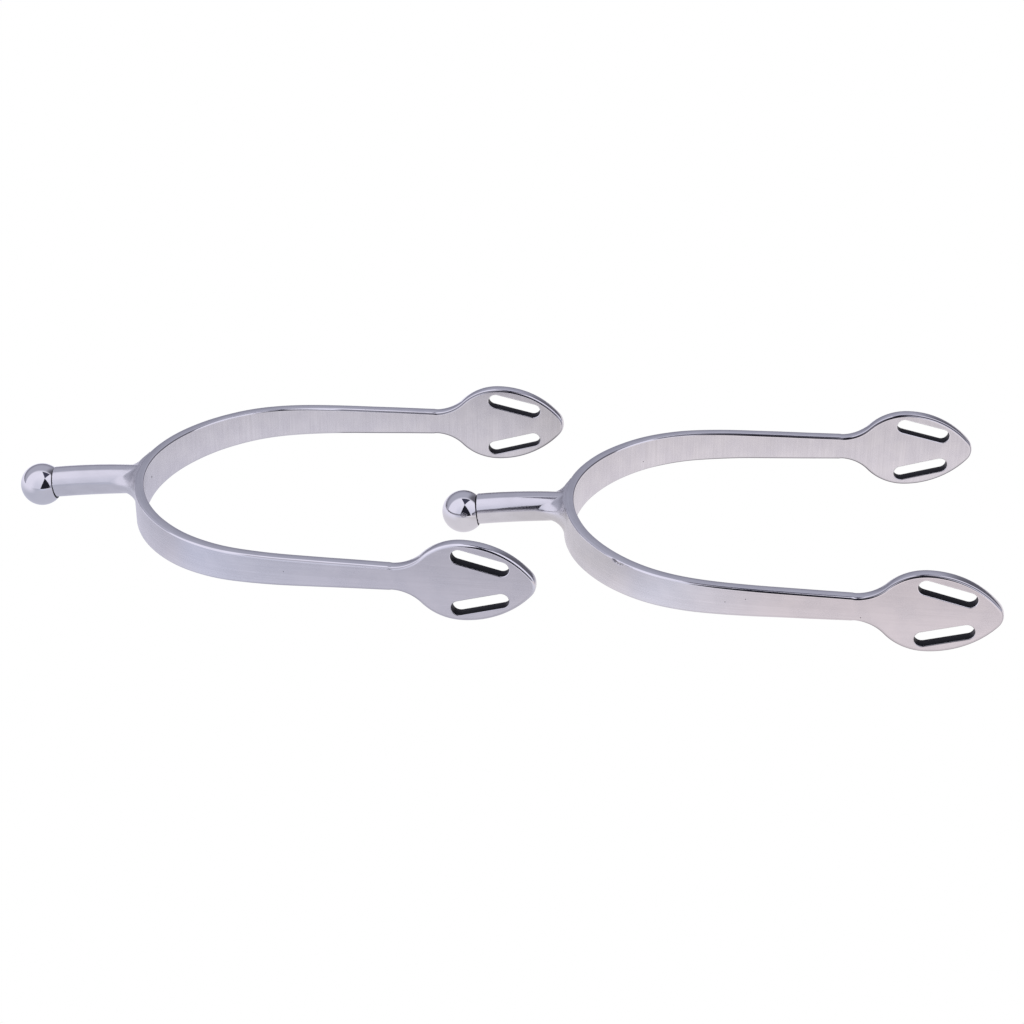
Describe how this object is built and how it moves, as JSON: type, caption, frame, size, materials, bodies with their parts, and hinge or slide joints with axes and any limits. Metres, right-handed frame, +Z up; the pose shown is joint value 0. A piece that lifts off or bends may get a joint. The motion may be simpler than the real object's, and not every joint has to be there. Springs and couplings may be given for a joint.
{
  "type": "pair of ball-end spurs",
  "caption": "Stainless steel spurs with a flat-bar heel band, slotted strap leaves and a short drooping neck that ends in a polished ball.",
  "frame": {"origin": "middle of the pair's footprint, on the surface the spurs lie on", "axes": "+X from the left spur's ball towards the right spur's leaves, along both spurs; +Z up from the surface"},
  "size_m": [0.235, 0.0898, 0.0198],
  "materials": {
    "satin_steel": "flat bar with its faces brushed across and its edges buffed round",
    "polished_steel": "buffed almost to a mirror, with a ground weld at the foot",
    "mirror_steel": "mirror polished"
  },
  "bodies": {
    "left_spur": {"left_heel_band": "satin_steel", "left_neck": "polished_steel", "left_ball_pin": "mirror_steel"},
    "left_ball_turning": {"left_ball": "mirror_steel"},
    "right_spur": {"right_heel_band": "satin_steel", "right_neck": "polished_steel", "right_ball_pin": "mirror_steel"},
    "right_ball_turning": {"right_ball": "mirror_steel"}
  },
  "joints": [
    {"name": "left_ball_spin", "type": "hinge", "parent": "left_spur", "child": "left_ball_turning", "pos_m": [-0.11237, -0.0003, 0.00515], "axis": [-0.9917, 0, -0.1288], "continuous": true},
    {"name": "right_ball_spin", "type": "hinge", "parent": "right_spur", "child": "right_ball_turning", "pos_m": [-0.00807, 0.0003, 0.00515], "axis": [-0.9917, 0, -0.1288], "continuous": true},
    {"name": "pair_slide", "type": "slide", "parent": "left_spur", "child": "right_spur", "axis": [1, 0, 0], "range_m": [0, 0.06]}
  ]
}
